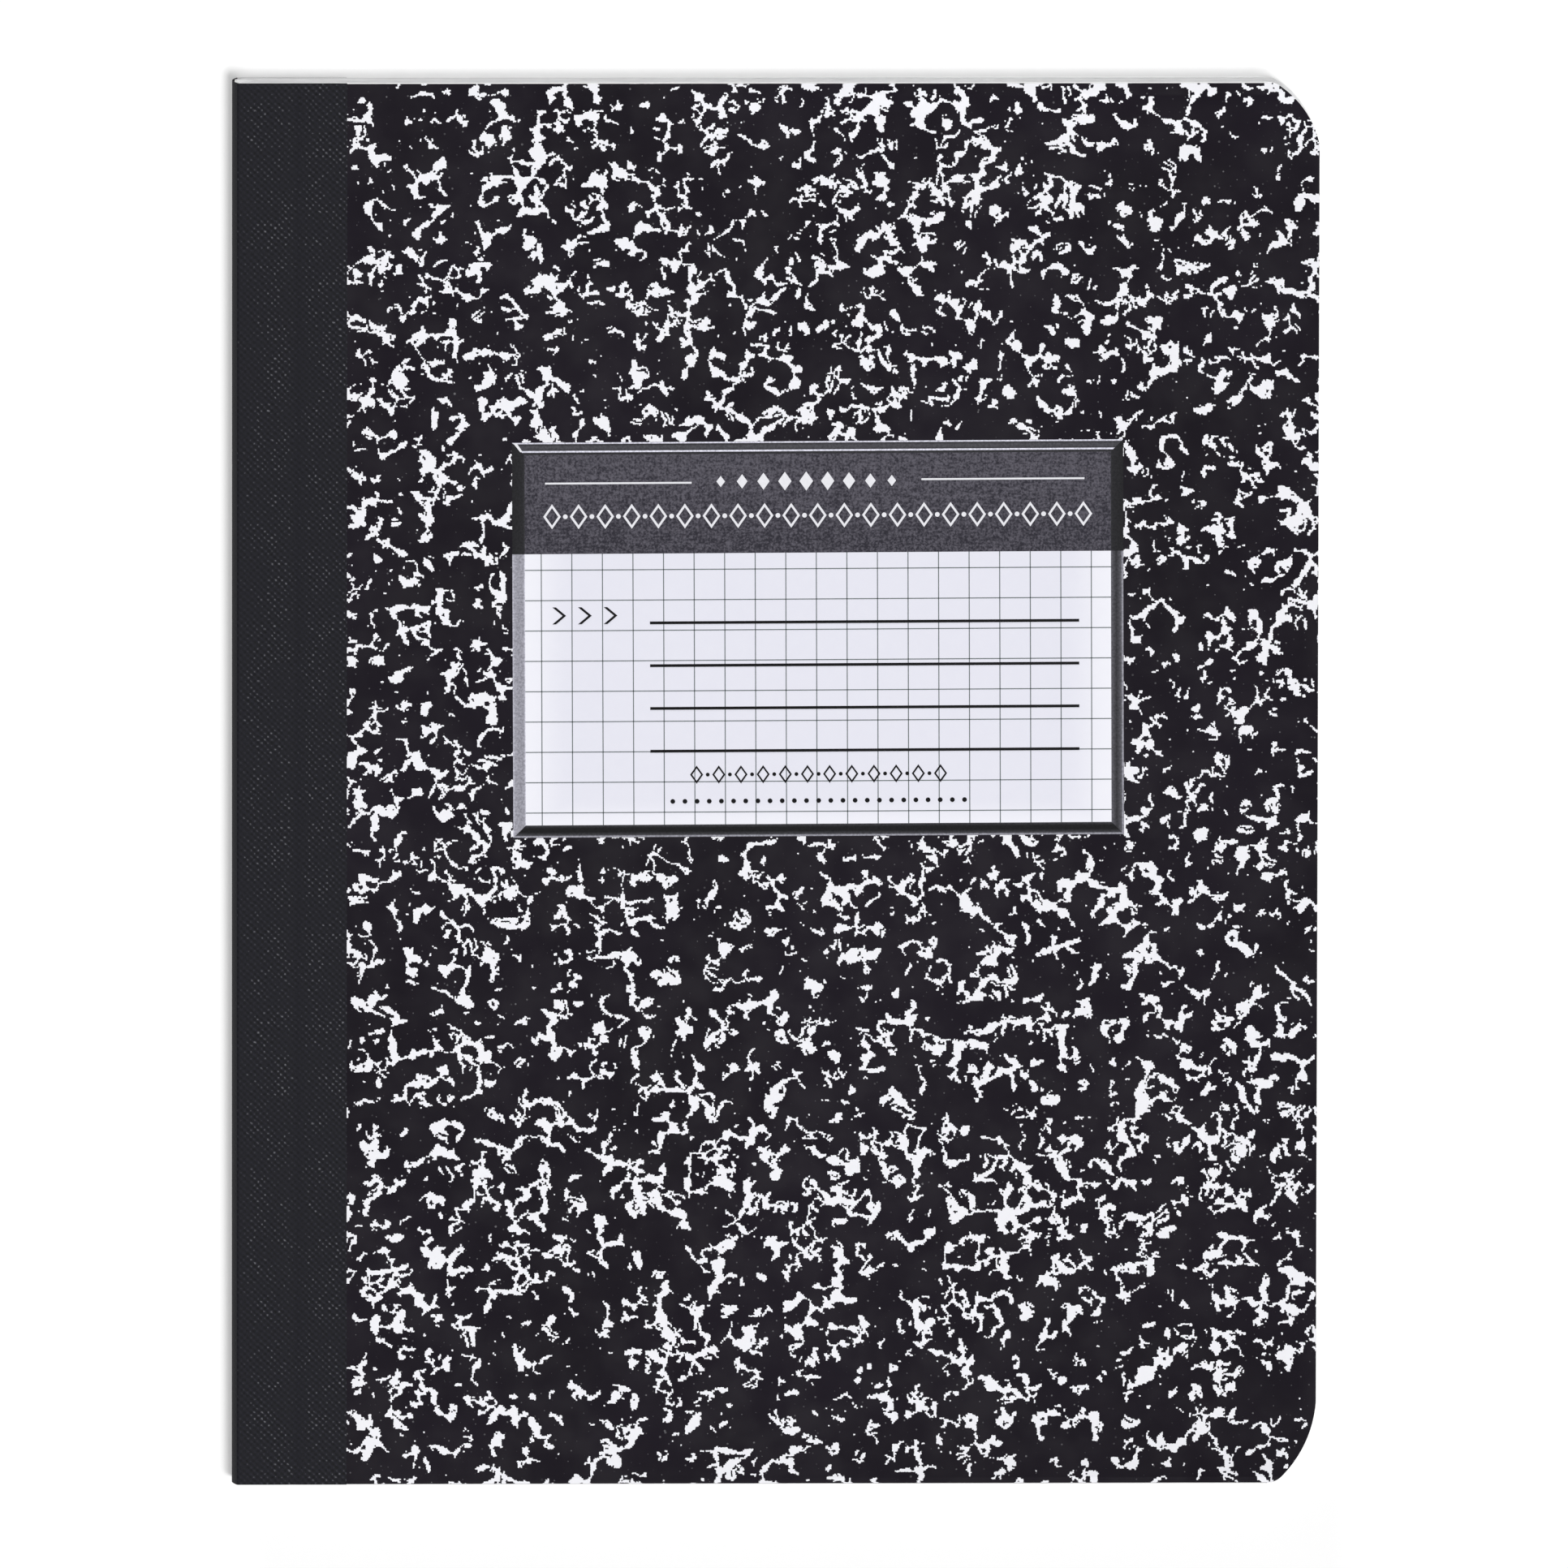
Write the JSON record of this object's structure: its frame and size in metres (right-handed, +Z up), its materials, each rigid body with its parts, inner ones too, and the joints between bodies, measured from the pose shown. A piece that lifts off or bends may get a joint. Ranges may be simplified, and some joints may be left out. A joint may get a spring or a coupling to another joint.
{
  "type": "composition notebook",
  "caption": "Sewn composition notebook with marbled board covers that open, a cloth-taped spine and a block of ruled leaves.",
  "frame": {"origin": "middle of the back board's outer face, on the surface that the closed book lies on", "axes": "+Z up through the closed book towards the front board, +Y towards the head, spine at -X and fore-edge at +X"},
  "size_m": [0.1906, 0.2476, 0.0095],
  "materials": {
    "marbled_board": "black and white marbled paper on pressed board, satin",
    "leaves": "uncoated white writing paper, trimmed edges",
    "cloth_tape": "blue-black cloth tape with an embossed weave",
    "sewing_thread": "white cotton thread",
    "label_light": "printed label field, pale",
    "label_dark": "printed label header and border, dark grey"
  },
  "bodies": {
    "block": {"page_block": "leaves", "spine_tape": "cloth_tape", "outer_thread": "sewing_thread", "inner_thread": "sewing_thread"},
    "front": {"front_cover": "marbled_board"},
    "back": {"back_cover": "marbled_board"}
  },
  "joints": [
    {"name": "front_hinge", "type": "hinge", "parent": "block", "child": "front", "pos_m": [-0.09435, 0, 0.00907], "axis": [0, -1, 0], "range_deg": [0, 179.9], "deforming": ["spine_tape"]},
    {"name": "back_hinge", "type": "hinge", "parent": "block", "child": "back", "pos_m": [-0.09435, 0, 0.00045], "axis": [0, 1, 0], "range_deg": [0, 179.9], "deforming": ["spine_tape"]}
  ]
}
